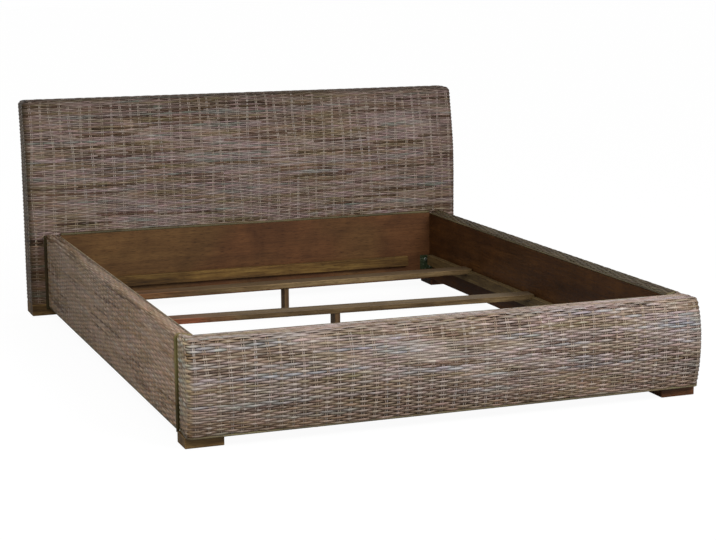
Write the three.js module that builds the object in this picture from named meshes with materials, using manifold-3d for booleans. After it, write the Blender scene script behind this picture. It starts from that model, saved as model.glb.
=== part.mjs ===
// Woven rattan bed: headboard, footboard and two side rails bolted together, with
// three cross slats that carry the mattress and a leg under each slat.
// Millimetres, +Z up. X runs across the bed, the headboard is at +Y, the floor is Z = 0
// and the origin lies under the middle of the bed's overall box.

import * as THREE from 'three';
import { mergeVertices } from 'three/addons/utils/BufferGeometryUtils.js';
import Module from 'manifold-3d';

const wasm = await Module();
wasm.setup();

// Space that the mattress drops into
const INNER_WIDTH = 1610;
const INNER_LENGTH = 2010;

// Heights above the floor
const FRAME_BOTTOM = 34;
const BOARD_TOP = 317;
const HEAD_BOARD_STEP = 7;
const HEADBOARD_TOP = 862;

// Shared thicknesses
const BOARD = 20;
const WEAVE = 10;
const CANE = 7;
const BINDING = { thickness: 8, width: 20 };
const GAP = 0.3;

// How finely curves are drawn
const HEIGHT_STEP = 25;
const TIMBER_STEP = 40;
const FORMER_STEPS = 8;
const CROWN_STEPS = 4;
const CANE_SIDES = 8;
const ROUND_SIDES = 16;
const HEX_SIDES = 6;

// Crown of the woven top around the mattress: its inner edge stands above the boards, and it
// rises outwards over the crown's width
const CROWN_EDGE = 6;
const CROWN_RISE = 9;
const CROWN_WIDTH = 60;

// Side rails
const RAIL_DEPTH = 61;
const RAIL_EDGE_RADIUS = 15;
const HEAD_END_GROOVE = 10;
const BATTEN_HEIGHT = 30;

// Footboard: its front swells out to the belly height and falls back above and below it. Its
// ends leave a strip of each rail's end showing, and flare out from there to the front corners
const RAIL_END_SHOW = 16;
const FOOTBOARD_FLARE = 18;
const FOOTBOARD_DEPTH = 152;
const BELLY_HEIGHT = 190;
const SWELL_FALL = { top: 36, bottom: 23 };
const FOOTBOARD_CORNER_RADIUS = 22;
const FOOTBOARD_EDGE_RADIUS = 14;
const FOOTBOARD_BATTEN_SHORT = 20;
const FORMER_THICKNESS = 18;
const FORMER_OFFSET = 300;

// Headboard: it stands out sideways beyond the rails, and its front is upright up to the bend,
// then leans back
const HEADBOARD_OVERHANG = 63;
const HEADBOARD_DEPTH = 134;
const HEAD_BOARD_PROUD = 9;
const FRONT_BEND_HEIGHT = 500;
const FRONT_BEND_RADIUS = 919;
const BACK_BEND_HEIGHT = 600;
const BACK_BEND_RADIUS = 1500;
const LEAN_DEGREES = 11.3;
const HEADBOARD_TOP_RADIUS = 22;
const HEADBOARD_SIDE_RADIUS = 15;
const POST_WIDTH = 60;
const HEAD_RAIL_HEIGHT = 60;
const STUD_WIDTH = 50;

// Feet
const FRONT_FOOT = { width: 122, depth: 88, front: 98 };
const HEAD_FOOT = { width: 113, depth: 118, top: 46 };

// Ledgers, cross slats and their legs
const LEDGER = { thickness: 24, height: 42, bottom: 100.5, bracketGap: 2, crossEndGap: 110 };
const SLAT = { width: 72, thickness: 20, seat: 10.5, endGap: 5 };
const SLAT_PITCH = 545;
const MIDDLE_SLAT_Y = 32;
const MIDDLE_SLAT_SKEW_DEGREES = -3.27;
const LEG_FLOOR_GAP = 12;
const LEGS = {
  head: { x: -1, width: 18, depth: 50 },
  middle: { x: 16, width: 20, depth: 64 },
  foot: { x: 0, width: 18, depth: 50 },
};

// Corner brackets, and the bolt and screw in each: how far from the corner and how high on the
// bracket they are, and how much of the board stays whole behind their tips
const BRACKET = { thickness: 3, height: 62, bottom: 77, headLeg: 42, railLeg: 27 };
const FASTENER = { radius: 4, headRadius: 7.5, headHeight: 5.3, cover: 7 };
const BOLT = { fromCorner: 21, rise: 45 };
const SCREW = { fromCorner: 16.5, rise: 17 };

const RADIAN = Math.PI / 180;
const halfWidth = INNER_WIDTH / 2;
const halfLength = INNER_LENGTH / 2;
const railOuter = halfWidth + RAIL_DEPTH;
const headBoardTop = BOARD_TOP + HEAD_BOARD_STEP;
const crownTop = BOARD_TOP + CROWN_EDGE + CROWN_RISE;
const crownEdge = { x: halfWidth + CANE + GAP, y: halfLength + CANE + GAP };
const weaveBottom = FRAME_BOTTOM + CANE;
const battenInner = halfWidth + BOARD;
const battenOuter = railOuter - WEAVE;
const headFace = halfLength + HEAD_BOARD_PROUD;
const headBoardBack = halfLength + BOARD;
const headHalf = railOuter + HEADBOARD_OVERHANG;
const footboardBackHalf = railOuter - RAIL_END_SHOW;
const footboardHalf = footboardBackHalf + FOOTBOARD_FLARE;
const ledgerTop = LEDGER.bottom + LEDGER.height;
const slatBottom = ledgerTop - SLAT.seat;
const grip = BRACKET.thickness + BOARD - FASTENER.cover;

const materials = {
  weave: new THREE.MeshStandardMaterial({ color: 0x7d7066, roughness: 0.8, metalness: 0 }),
  cane: new THREE.MeshStandardMaterial({ color: 0x5a5038, roughness: 0.7, metalness: 0 }),
  board: new THREE.MeshStandardMaterial({ color: 0x553a28, roughness: 0.65, metalness: 0 }),
  slat: new THREE.MeshStandardMaterial({ color: 0x7d6047, roughness: 0.7, metalness: 0 }),
  foot: new THREE.MeshStandardMaterial({ color: 0x5d4228, roughness: 0.6, metalness: 0 }),
  steel: new THREE.MeshStandardMaterial({ color: 0x5b6653, roughness: 0.45, metalness: 0.9 }),
};

const bed = new THREE.Group();

function addMesh(name, material, geometry) {
  const mesh = new THREE.Mesh(geometry, material);
  mesh.name = name;
  bed.add(mesh);
  return mesh;
}

// A cuboid between three pairs of limits
function cuboid(x, y, z) {
  const geometry = new THREE.BoxGeometry(x[1] - x[0], y[1] - y[0], z[1] - z[0]);
  return geometry.translate((x[0] + x[1]) / 2, (y[0] + y[1]) / 2, (z[0] + z[1]) / 2);
}

function addCuboid(name, material, x, y, z) {
  return addMesh(name, material, cuboid(x, y, z));
}

// Limits of a piece on one side of the bed: sign is -1 for left and 1 for right
function onSide(sign, near, far) {
  return sign > 0 ? [near, far] : [-far, -near];
}

// A straight bar with its section drawn in the two other axes: (y, z) along X, (x, z) along Y,
// (x, y) along Z
function bar(shape, axis, from, to) {
  const geometry = new THREE.ExtrudeGeometry(shape, {
    depth: to - from, bevelEnabled: false, curveSegments: 6,
  });
  const x = new THREE.Vector3(1, 0, 0);
  const y = new THREE.Vector3(0, 1, 0);
  const z = new THREE.Vector3(0, 0, 1);
  const turn = new THREE.Matrix4();
  if (axis === 'x') turn.makeBasis(y, z, x).setPosition(from, 0, 0);
  if (axis === 'y') turn.makeBasis(x, z, y.negate()).setPosition(0, to, 0);
  if (axis === 'z') turn.setPosition(0, 0, from);
  return geometry.applyMatrix4(turn);
}

function polygon(points) {
  return new THREE.Shape(points.map(([u, v]) => new THREE.Vector2(u, v)));
}

// A round cane of the given section centre, as an eight-sided bar
function caneShape(u, v) {
  const shape = new THREE.Shape();
  for (let i = 0; i < CANE_SIDES; i += 1) {
    const angle = (i + 0.5) * (2 * Math.PI / CANE_SIDES);
    const reach = CANE / 2 / Math.cos(Math.PI / CANE_SIDES);
    const point = [u + reach * Math.cos(angle), v + reach * Math.sin(angle)];
    if (i === 0) shape.moveTo(...point);
    else shape.lineTo(...point);
  }
  return shape;
}

// A closed body through level rings that are drawn anticlockwise seen from above, lowest first
function loft(rings) {
  const count = rings[0].length;
  const positions = rings.flat().flatMap((point) => [point.x, point.y, point.z]);
  const index = [];
  for (let level = 0; level + 1 < rings.length; level += 1) {
    for (let i = 0; i < count; i += 1) {
      const a = level * count + i;
      const b = level * count + (i + 1) % count;
      index.push(a, b, b + count, a, b + count, a + count);
    }
  }
  const flat = rings[0].map((point) => new THREE.Vector2(point.x, point.y));
  const last = (rings.length - 1) * count;
  for (const [a, b, c] of THREE.ShapeUtils.triangulateShape(flat, [])) {
    index.push(a, c, b, last + a, last + b, last + c);
  }
  const geometry = new THREE.BufferGeometry();
  geometry.setAttribute('position', new THREE.Float32BufferAttribute(positions, 3));
  geometry.setIndex(index);
  return geometry;
}

function toSolid(geometry) {
  const bare = geometry.clone();
  bare.deleteAttribute('normal');
  bare.deleteAttribute('uv');
  const merged = mergeVertices(bare);
  return new wasm.Manifold(new wasm.Mesh({
    numProp: 3,
    vertProperties: new Float32Array(merged.attributes.position.array),
    triVerts: new Uint32Array(merged.index.array),
  }));
}

function toGeometry(solid) {
  const mesh = solid.getMesh();
  const geometry = new THREE.BufferGeometry();
  geometry.setAttribute('position', new THREE.BufferAttribute(mesh.vertProperties, 3));
  geometry.setIndex(new THREE.BufferAttribute(mesh.triVerts, 1));
  return geometry;
}

function cut(base, tools) {
  const solid = tools.reduce((rest, tool) => rest.subtract(toSolid(tool)), toSolid(base));
  return toGeometry(solid);
}

// Heights at which a woven shell is drawn: even steps, then the steps of its rounded top edge
function shellHeights(bottom, top, radius) {
  const shoulder = top - radius;
  const count = Math.ceil((shoulder - bottom) / HEIGHT_STEP);
  const heights = [];
  for (let i = 0; i <= count; i += 1) heights.push(bottom + (shoulder - bottom) * i / count);
  for (let degrees = 15; radius > 0 && degrees <= 90; degrees += 15) {
    heights.push(shoulder + radius * Math.sin(degrees * RADIAN));
  }
  return heights;
}

// How far a rounded top edge has drawn in at a height
function roundedInset(height, top, radius) {
  const above = Math.max(0, height - (top - radius));
  return radius - Math.sqrt(Math.max(0, radius * radius - above * above));
}

function arcPoints(centreX, centreY, radius, fromDegrees, z, steps = 4) {
  const points = [];
  for (let i = 0; i <= steps; i += 1) {
    const angle = (fromDegrees + 90 * i / steps) * RADIAN;
    const x = centreX + radius * Math.cos(angle);
    const y = centreY + radius * Math.sin(angle);
    points.push(new THREE.Vector3(x, y, z));
  }
  return points;
}

// Height of the woven top at a distance outside its inner edge
function crownHeight(distance) {
  const inward = 1 - Math.min(1, distance / CROWN_WIDTH);
  return crownTop - CROWN_RISE * inward * inward;
}

// The space above the crown at the foot end, with its corners turned round the mattress's corners
function aboveCrown() {
  const back = -halfLength / 2;
  const ringAt = (distance, height) => {
    const x = crownEdge.x + distance;
    const y = -(crownEdge.y + distance);
    const radius = distance + GAP;
    return [
      new THREE.Vector3(-x, back, height),
      ...arcPoints(-x + radius, y + radius, radius, 180, height),
      ...arcPoints(x - radius, y + radius, radius, 270, height),
      new THREE.Vector3(x, back, height),
    ];
  };
  const rings = [];
  for (let step = 0; step <= CROWN_STEPS; step += 1) {
    const distance = CROWN_WIDTH * step / CROWN_STEPS;
    rings.push(ringAt(distance, crownHeight(distance)));
  }
  rings.push(ringAt(CROWN_WIDTH, crownTop + GAP));
  return loft(rings);
}

// Footboard

// The front's arc above the belly falls back by the top fall at the crown, and the one below it
// by the bottom fall at the frame's bottom
function footboardFront(height) {
  const rise = height - BELLY_HEIGHT;
  const fall = rise > 0 ? SWELL_FALL.top : SWELL_FALL.bottom;
  const fullRise = rise > 0 ? crownTop - BELLY_HEIGHT : BELLY_HEIGHT - FRAME_BOTTOM;
  const radius = (fullRise * fullRise + fall * fall) / (2 * fall);
  const fallBack = radius - Math.sqrt(radius * radius - rise * rise);
  return -(halfLength + FOOTBOARD_DEPTH) + fallBack;
}

// One level of the footboard's outline, drawn in by the given depth
function footboardRing(height, inset, backY) {
  const x = footboardHalf - inset;
  const y = footboardFront(height) + inset;
  const radius = Math.max(1, FOOTBOARD_CORNER_RADIUS - inset);
  const slope = FOOTBOARD_FLARE / (FOOTBOARD_DEPTH - radius);
  const backX = footboardBackHalf - inset - slope * (backY + halfLength);
  return [
    new THREE.Vector3(-backX, backY, height),
    ...arcPoints(-x + radius, y + radius, radius, 180, height),
    ...arcPoints(x - radius, y + radius, radius, 270, height),
    new THREE.Vector3(backX, backY, height),
  ];
}

function footboardBody(bottom, top, radius, depthIn, backY) {
  const rings = shellHeights(bottom, top, radius).map((height) => {
    const inset = depthIn + roundedInset(height, top, radius);
    return footboardRing(height, inset, backY);
  });
  return loft(rings);
}

function buildFootboard() {
  const inner = -halfLength;
  const boardFront = inner - BOARD;
  const boardHalf = footboardBackHalf - WEAVE - GAP;
  const battenHalf = footboardBackHalf - FOOTBOARD_BATTEN_SHORT;
  const battenTop = [BOARD_TOP - BATTEN_HEIGHT, BOARD_TOP];
  const battenBottom = [FRAME_BOTTOM, FRAME_BOTTOM + BATTEN_HEIGHT];
  const behind = inner + BOARD;

  const outer = footboardBody(weaveBottom, crownTop, FOOTBOARD_EDGE_RADIUS, 0, inner);
  const hollow = footboardBody(FRAME_BOTTOM, BOARD_TOP, 0, WEAVE, behind);
  const trimReach = CANE + GAP;
  const trimSeat = cuboid(
    [-halfWidth - trimReach, halfWidth + trimReach],
    [inner - trimReach, behind],
    [BOARD_TOP - CANE, crownTop],
  );
  addMesh('footboard_weave', materials.weave, cut(outer, [hollow, trimSeat, aboveCrown()]));

  const edge = footboardBody(FRAME_BOTTOM, weaveBottom, 0, 0, inner);
  const edgeHollow = footboardBody(0, battenBottom[1], 0, WEAVE, behind);
  addMesh('footboard_bottom_trim', materials.cane, cut(edge, [edgeHollow]));

  const holes = [-1, 1].map((sign) => boltHole(sign, -1));
  const board = cuboid([-boardHalf, boardHalf], [boardFront, inner], [FRAME_BOTTOM, BOARD_TOP]);
  addMesh('footboard_inner_board', materials.board, cut(board, holes));
  addCuboid('footboard_top_batten', materials.board, [-battenHalf, battenHalf],
    [footboardFront(BOARD_TOP) + WEAVE + GAP, boardFront], battenTop);
  addCuboid('footboard_bottom_batten', materials.board, [-battenHalf, battenHalf],
    [footboardFront(FRAME_BOTTOM) + WEAVE + GAP, boardFront], battenBottom);

  const formerPoints = [[boardFront, battenBottom[1]]];
  for (let i = 0; i <= FORMER_STEPS; i += 1) {
    const height = battenBottom[1] + (battenTop[0] - battenBottom[1]) * i / FORMER_STEPS;
    formerPoints.push([footboardFront(height) + WEAVE + GAP, height]);
  }
  formerPoints.push([boardFront, battenTop[0]]);
  for (const [side, sign] of [['left', -1], ['right', 1]]) {
    const centre = sign * FORMER_OFFSET;
    addMesh(`footboard_former_${side}`, materials.board, bar(polygon(formerPoints), 'x',
      centre - FORMER_THICKNESS / 2, centre + FORMER_THICKNESS / 2));
  }

  const trimLine = caneShape(inner - CANE / 2, BOARD_TOP + CANE / 2);
  const trimEnd = halfWidth + CANE;
  addMesh('footboard_top_trim', materials.cane, bar(trimLine, 'x', -trimEnd, trimEnd));
  const ledgerEnd = halfWidth - LEDGER.crossEndGap;
  addCuboid('footboard_ledger', materials.slat, [-ledgerEnd, ledgerEnd],
    [inner, inner + LEDGER.thickness], [LEDGER.bottom, ledgerTop]);

  for (const [side, sign] of [['left', -1], ['right', 1]]) {
    const front = inner - FRONT_FOOT.front;
    addCuboid(`footboard_foot_${side}`, materials.foot,
      onSide(sign, footboardHalf - FRONT_FOOT.width, footboardHalf),
      [front, front + FRONT_FOOT.depth], [0, FRAME_BOTTOM]);
  }
}

// Headboard

// How far a face that bends back at a height has moved back at a greater height
function leanBack(height, bendHeight, bendRadius) {
  const rise = Math.max(0, height - bendHeight);
  const bendRise = bendRadius * Math.sin(LEAN_DEGREES * RADIAN);
  if (rise <= bendRise) return bendRadius - Math.sqrt(bendRadius * bendRadius - rise * rise);
  const bendDepth = bendRadius * (1 - Math.cos(LEAN_DEGREES * RADIAN));
  return bendDepth + (rise - bendRise) * Math.tan(LEAN_DEGREES * RADIAN);
}

function headboardFront(height) {
  return headFace + leanBack(height, FRONT_BEND_HEIGHT, FRONT_BEND_RADIUS);
}

function headboardBack(height) {
  return headFace + HEADBOARD_DEPTH + leanBack(height, BACK_BEND_HEIGHT, BACK_BEND_RADIUS);
}

function headboardRing(height, inset) {
  const x = headHalf - inset;
  const front = headboardFront(height) + inset;
  const back = headboardBack(height) - inset;
  const radius = Math.max(1, HEADBOARD_SIDE_RADIUS - inset);
  return [
    ...arcPoints(-x + radius, back - radius, radius, 90, height, 3),
    ...arcPoints(-x + radius, front + radius, radius, 180, height, 3),
    ...arcPoints(x - radius, front + radius, radius, 270, height, 3),
    ...arcPoints(x - radius, back - radius, radius, 0, height, 3),
  ];
}

function headboardBody(bottom, top, radius, depthIn) {
  const rings = shellHeights(bottom, top, radius).map((height) => {
    const inset = depthIn + roundedInset(height, top, radius);
    return headboardRing(height, inset);
  });
  return loft(rings);
}

// Section of a headboard timber between two heights, filling the shell from front to back
function timberSection(bottom, top, frontStart) {
  const steps = Math.max(1, Math.ceil((top - bottom) / TIMBER_STEP));
  const front = [];
  const back = [];
  for (let i = 0; i <= steps; i += 1) {
    const height = bottom + (top - bottom) * i / steps;
    const frontY = Math.max(frontStart, headboardFront(height) + WEAVE + GAP);
    front.push([frontY, height]);
    back.unshift([headboardBack(height) - WEAVE - GAP, height]);
  }
  return polygon([...front, ...back]);
}

function buildHeadboard() {
  const innerTop = HEADBOARD_TOP - WEAVE;
  const innerRadius = HEADBOARD_TOP_RADIUS - WEAVE;
  const timberTop = innerTop - innerRadius - GAP;
  const postOuter = headHalf - HEADBOARD_SIDE_RADIUS;
  const postInner = postOuter - POST_WIDTH;
  const boardHalf = halfWidth - GAP;

  const outer = headboardBody(HEAD_FOOT.top, HEADBOARD_TOP, HEADBOARD_TOP_RADIUS, 0);
  const hollow = headboardBody(FRAME_BOTTOM, innerTop, innerRadius, WEAVE);
  const window = cuboid(
    [-halfWidth, halfWidth],
    [headFace - BOARD, headBoardBack + GAP],
    [0, headBoardTop + GAP],
  );
  addMesh('headboard_weave', materials.weave, cut(outer, [hollow, window]));

  for (const [side, sign] of [['left', -1], ['right', 1]]) {
    const [near, far] = onSide(sign, postInner, postOuter);
    addMesh(`headboard_post_${side}`, materials.board,
      bar(timberSection(HEAD_FOOT.top, timberTop, headFace), 'x', near, far));
    addCuboid(`headboard_foot_${side}`, materials.foot,
      onSide(sign, headHalf - HEAD_FOOT.width, headHalf),
      [headFace, headFace + HEAD_FOOT.depth], [0, HEAD_FOOT.top]);
  }

  const timbers = [
    ['bottom', HEAD_FOOT.top, HEAD_FOOT.top + HEAD_RAIL_HEIGHT],
    ['middle', headBoardTop - HEAD_RAIL_HEIGHT / 2, headBoardTop + HEAD_RAIL_HEIGHT / 2],
    ['top', timberTop - HEAD_RAIL_HEIGHT, timberTop],
  ];
  for (const [level, bottom, top] of timbers) {
    addMesh(`headboard_${level}_rail`, materials.board,
      bar(timberSection(bottom, top, headBoardBack), 'x', -postInner, postInner));
  }
  const studBottom = headBoardTop + HEAD_RAIL_HEIGHT / 2;
  const studTop = timberTop - HEAD_RAIL_HEIGHT;
  addMesh('headboard_stud', materials.board,
    bar(timberSection(studBottom, studTop, headFace), 'x', -STUD_WIDTH / 2, STUD_WIDTH / 2));

  const holes = [-1, 1].map((sign) => boltHole(sign, 1));
  const board = cuboid([-boardHalf, boardHalf], [halfLength, headBoardBack],
    [FRAME_BOTTOM, headBoardTop]);
  addMesh('headboard_inner_board', materials.board, cut(board, holes));
  const trimLine = caneShape(headFace - GAP - CANE / 2, headBoardTop + CANE / 2);
  addMesh('headboard_trim', materials.cane, bar(trimLine, 'x', -boardHalf, boardHalf));
  const ledgerEnd = halfWidth - LEDGER.crossEndGap;
  addCuboid('headboard_ledger', materials.slat, [-ledgerEnd, ledgerEnd],
    [halfLength - LEDGER.thickness, halfLength], [LEDGER.bottom, ledgerTop]);
}

// Side rails

// Section of what lies over a rail's outer face and top: the weave, or a binding at an end,
// which is deeper on the outer face and stands out a little
function wrapShape(sign, bottom, depth, grow) {
  const outer = railOuter + grow;
  const wallInner = railOuter - depth;
  const radius = RAIL_EDGE_RADIUS;
  const inner = crownEdge.x;
  const crownWidth = outer - radius - inner;
  const top = crownHeight(crownWidth) + grow;
  const shape = [[inner, BOARD_TOP], [wallInner, BOARD_TOP], [wallInner, bottom], [outer, bottom]];
  for (let degrees = 0; degrees <= 90; degrees += 15) {
    const angle = degrees * RADIAN;
    const x = outer - radius + radius * Math.cos(angle);
    shape.push([x, top - radius + radius * Math.sin(angle)]);
  }
  for (let step = CROWN_STEPS - 1; step >= 0; step -= 1) {
    const distance = crownWidth * step / CROWN_STEPS;
    shape.push([inner + distance, crownHeight(distance) + grow]);
  }
  return polygon(shape.map(([x, z]) => [sign * x, z]));
}

function buildRail(side, sign) {
  const start = -halfLength;
  const end = headFace - GAP;
  const board = cuboid(onSide(sign, halfWidth, battenInner), [start, end],
    [FRAME_BOTTOM, BOARD_TOP]);
  const holes = [1, -1].map((endSign) => screwHole(sign, endSign));
  addMesh(`${side}_rail_board`, materials.board, cut(board, holes));
  const battens = [start + BINDING.thickness, end - BINDING.thickness];
  addCuboid(`${side}_rail_top_batten`, materials.board, onSide(sign, battenInner, battenOuter),
    battens, [BOARD_TOP - BATTEN_HEIGHT, BOARD_TOP]);
  addCuboid(`${side}_rail_bottom_batten`, materials.board, onSide(sign, battenInner, battenOuter),
    battens, [FRAME_BOTTOM, FRAME_BOTTOM + BATTEN_HEIGHT]);

  const wovenStart = start + BINDING.thickness + GAP;
  const wovenEnd = end - BINDING.thickness - HEAD_END_GROOVE;
  addMesh(`${side}_rail_weave`, materials.weave,
    bar(wrapShape(sign, weaveBottom, WEAVE, 0), 'y', wovenStart, wovenEnd));
  const binding = wrapShape(sign, FRAME_BOTTOM, BINDING.width, 1);
  addMesh(`${side}_rail_foot_binding`, materials.cane,
    bar(binding, 'y', start, start + BINDING.thickness));
  addMesh(`${side}_rail_head_binding`, materials.cane,
    bar(binding, 'y', end - BINDING.thickness, end));
  addMesh(`${side}_rail_top_trim`, materials.cane,
    bar(caneShape(sign * (halfWidth + CANE / 2), BOARD_TOP + CANE / 2), 'y', start, end));
  addCuboid(`${side}_rail_bottom_trim`, materials.cane, onSide(sign, battenOuter, railOuter),
    [wovenStart, wovenEnd], [FRAME_BOTTOM, weaveBottom]);

  const ledgerEnd = halfLength - BRACKET.thickness - BRACKET.railLeg - LEDGER.bracketGap;
  const ledger = cuboid(onSide(sign, halfWidth - LEDGER.thickness, halfWidth),
    [-ledgerEnd, ledgerEnd], [LEDGER.bottom, ledgerTop]);
  const seats = slats.map((slat) => slatBody(slat, halfWidth + LEDGER.thickness, GAP));
  addMesh(`${side}_rail_ledger`, materials.slat, cut(ledger, seats));
}

// Cross slats, each let into both ledgers, and the leg under each slat

const slats = [
  { name: 'head', y: MIDDLE_SLAT_Y + SLAT_PITCH, skew: 0 },
  { name: 'middle', y: MIDDLE_SLAT_Y, skew: MIDDLE_SLAT_SKEW_DEGREES * RADIAN },
  { name: 'foot', y: MIDDLE_SLAT_Y - SLAT_PITCH, skew: 0 },
];

function slatBody(slat, reach, grow) {
  const halfWide = SLAT.width / 2 + grow;
  const body = cuboid([-reach, reach], [-halfWide, halfWide],
    [slatBottom - grow, slatBottom + SLAT.thickness]);
  return body.rotateZ(slat.skew).translate(0, slat.y, 0);
}

function buildSlats() {
  for (const slat of slats) {
    const body = slatBody(slat, halfWidth - SLAT.endGap, 0);
    addMesh(`cross_slat_${slat.name}`, materials.slat, body);
    const { x, width, depth } = LEGS[slat.name];
    const leg = cuboid([x - width / 2, x + width / 2], [-depth / 2, depth / 2],
      [LEG_FLOOR_GAP, slatBottom]);
    addMesh(`slat_leg_${slat.name}`, materials.slat,
      leg.rotateZ(slat.skew).translate(0, slat.y, 0));
  }
}

// Corner brackets: end is 1 at the headboard and -1 at the footboard

function boltCentre(sign, endSign) {
  const x = sign * (halfWidth - BOLT.fromCorner);
  const y = endSign * (halfLength - BRACKET.thickness);
  return new THREE.Vector3(x, y, BRACKET.bottom + BOLT.rise);
}

function screwCentre(sign, endSign) {
  const x = sign * (halfWidth - BRACKET.thickness);
  const y = endSign * (halfLength - SCREW.fromCorner);
  return new THREE.Vector3(x, y, BRACKET.bottom + SCREW.rise);
}

// A rod from a point on a bracket's face, pointing away from the bed's middle
function rod(centre, axis, direction, radius, from, to, sides) {
  const geometry = new THREE.CylinderGeometry(radius, radius, to - from, sides);
  const middle = direction * (from + to) / 2;
  if (axis === 'x') geometry.rotateZ(Math.PI / 2).translate(middle, 0, 0);
  else geometry.translate(0, middle, 0);
  return geometry.translate(centre.x, centre.y, centre.z);
}

function boltHole(sign, endSign) {
  const centre = boltCentre(sign, endSign);
  return rod(centre, 'y', endSign, FASTENER.radius + GAP, -1, grip + GAP, ROUND_SIDES);
}

function screwHole(sign, endSign) {
  const centre = screwCentre(sign, endSign);
  return rod(centre, 'x', sign, FASTENER.radius + GAP, -1, grip + GAP, ROUND_SIDES);
}

function fastener(centre, axis, direction) {
  const { radius, headRadius, headHeight } = FASTENER;
  const shank = rod(centre, axis, direction, radius, -headHeight / 2, grip, ROUND_SIDES);
  const head = rod(centre, axis, direction, headRadius, -headHeight, 0, HEX_SIDES);
  return toGeometry(toSolid(head).add(toSolid(shank)));
}

function buildBrackets() {
  for (const [end, endSign] of [['head', 1], ['foot', -1]]) {
    for (const [side, sign] of [['left', -1], ['right', 1]]) {
      const corner = [sign * halfWidth, endSign * halfLength];
      const thick = BRACKET.thickness;
      const alongX = BRACKET.headLeg + thick;
      const alongY = BRACKET.railLeg + thick;
      const outline = [[0, 0], [alongX, 0], [alongX, thick], [thick, thick], [thick, alongY],
        [0, alongY]];
      const plan = outline.map(([x, y]) => [corner[0] - sign * x, corner[1] - endSign * y]);
      const plate = bar(polygon(plan), 'z', BRACKET.bottom, BRACKET.bottom + BRACKET.height);
      const holes = [boltHole(sign, endSign), screwHole(sign, endSign)];
      addMesh(`bracket_${end}_${side}`, materials.steel, cut(plate, holes));
      addMesh(`bracket_bolt_${end}_${side}`, materials.steel,
        fastener(boltCentre(sign, endSign), 'y', endSign));
      addMesh(`bracket_screw_${end}_${side}`, materials.steel,
        fastener(screwCentre(sign, endSign), 'x', sign));
    }
  }
}

buildHeadboard();
buildFootboard();
buildRail('left', -1);
buildRail('right', 1);
buildSlats();
buildBrackets();

// The origin is moved under the middle of the overall box
const frontmost = -(halfLength + FOOTBOARD_DEPTH);
const rearmost = new THREE.Box3().setFromObject(bed).max.y;
bed.position.y = -(frontmost + rearmost) / 2;

export default bed;
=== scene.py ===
# %% [markdown]
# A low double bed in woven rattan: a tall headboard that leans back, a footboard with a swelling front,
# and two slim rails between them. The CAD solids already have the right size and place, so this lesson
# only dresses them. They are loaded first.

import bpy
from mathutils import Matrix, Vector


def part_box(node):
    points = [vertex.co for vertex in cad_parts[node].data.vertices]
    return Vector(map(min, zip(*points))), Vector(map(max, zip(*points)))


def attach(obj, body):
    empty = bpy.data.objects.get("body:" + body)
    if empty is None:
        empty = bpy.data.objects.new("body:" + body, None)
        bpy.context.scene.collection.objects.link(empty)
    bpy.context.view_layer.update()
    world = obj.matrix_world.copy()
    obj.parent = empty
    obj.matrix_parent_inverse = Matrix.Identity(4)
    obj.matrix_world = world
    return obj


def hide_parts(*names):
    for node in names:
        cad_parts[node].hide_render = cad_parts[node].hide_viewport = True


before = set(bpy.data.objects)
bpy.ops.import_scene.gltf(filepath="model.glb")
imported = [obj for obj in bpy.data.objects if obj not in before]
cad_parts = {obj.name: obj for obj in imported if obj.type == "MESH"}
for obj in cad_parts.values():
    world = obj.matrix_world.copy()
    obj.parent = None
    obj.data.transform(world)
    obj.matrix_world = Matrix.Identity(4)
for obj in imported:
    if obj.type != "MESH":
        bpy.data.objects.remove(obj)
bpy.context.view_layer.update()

# %% [markdown]
# Everything below uses metres. The sizes of the woven shells come from the CAD drawing, and the
# drawing's zero moves by a few millimetres when its box is centred. The footboard's front face
# tells by how much.

# %% Where the drawing's zero lies
import math

import bmesh
import bpy
import numpy as np
from mathutils import Matrix

INNER_HALF_WIDTH = 0.805
INNER_HALF_LENGTH = 1.005
FOOTBOARD_DEPTH = 0.152
y_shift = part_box("footboard_weave")[0].y + INNER_HALF_LENGTH + FOOTBOARD_DEPTH
print("the drawing's zero lies", round(y_shift * 1000, 2), "mm along Y")

# %% [markdown]
# Three chores come back for every piece: turning a bmesh into a mesh, reading a mesh's points and
# putting an object into the scene. A piece also rides on the bed's one body, takes its finish, and
# hides the CAD nodes that it replaces.

# %% Meshes, objects and pieces
def new_mesh(name, made):
    mesh = bpy.data.meshes.new(name)
    made.to_mesh(mesh)
    made.free()
    return mesh


def points_of(mesh):
    points = np.empty(len(mesh.vertices) * 3)
    mesh.vertices.foreach_get("co", points)
    return points.reshape(-1, 3)


def new_object(name, data):
    made = bpy.data.objects.new(name, data)
    bpy.context.scene.collection.objects.link(made)
    return made


def new_piece(name, mesh, finish, replaces):
    mesh.materials.append(finish)
    piece = new_object(name, mesh)
    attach(piece, "root")
    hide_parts(*replaces)
    return piece


# %% [markdown]
# The camera stands where the photograph was taken: in front of the bed's left corner, a little
# above it, with a long lens. Its place, turn and lens come from fitting the bed's edges. The shift
# only centres the picture the way the photograph is cropped.

# %% Camera
camera_data = bpy.data.cameras.new("camera")
camera_data.sensor_width = 36
camera_data.lens = 89.485
camera_data.shift_x = -0.03514
camera_data.shift_y = 0.02447
camera_data.clip_end = 200
camera = new_object("camera", camera_data)
right = (0.93133, -0.36414, -0.00447)
up = (0.07273, 0.17397, 0.98206)
back = (-0.35683, -0.91495, 0.18850)
place = (-2.1690, -6.0616 + y_shift, 1.4639)
camera.matrix_world = Matrix([[right[i], up[i], back[i], place[i]] for i in range(3)] + [[0, 0, 0, 1]])
bpy.context.scene.camera = camera
print("camera", [round(value, 3) for value in place], "lens", camera_data.lens)

# %% [markdown]
# Finishes are node materials. A small helper keeps them readable: it adds one shader node, sets its
# options and plugs in either plain values or the sockets of earlier nodes. Colours are written as
# they look on a screen and turned into the linear values that Cycles works in.

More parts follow.
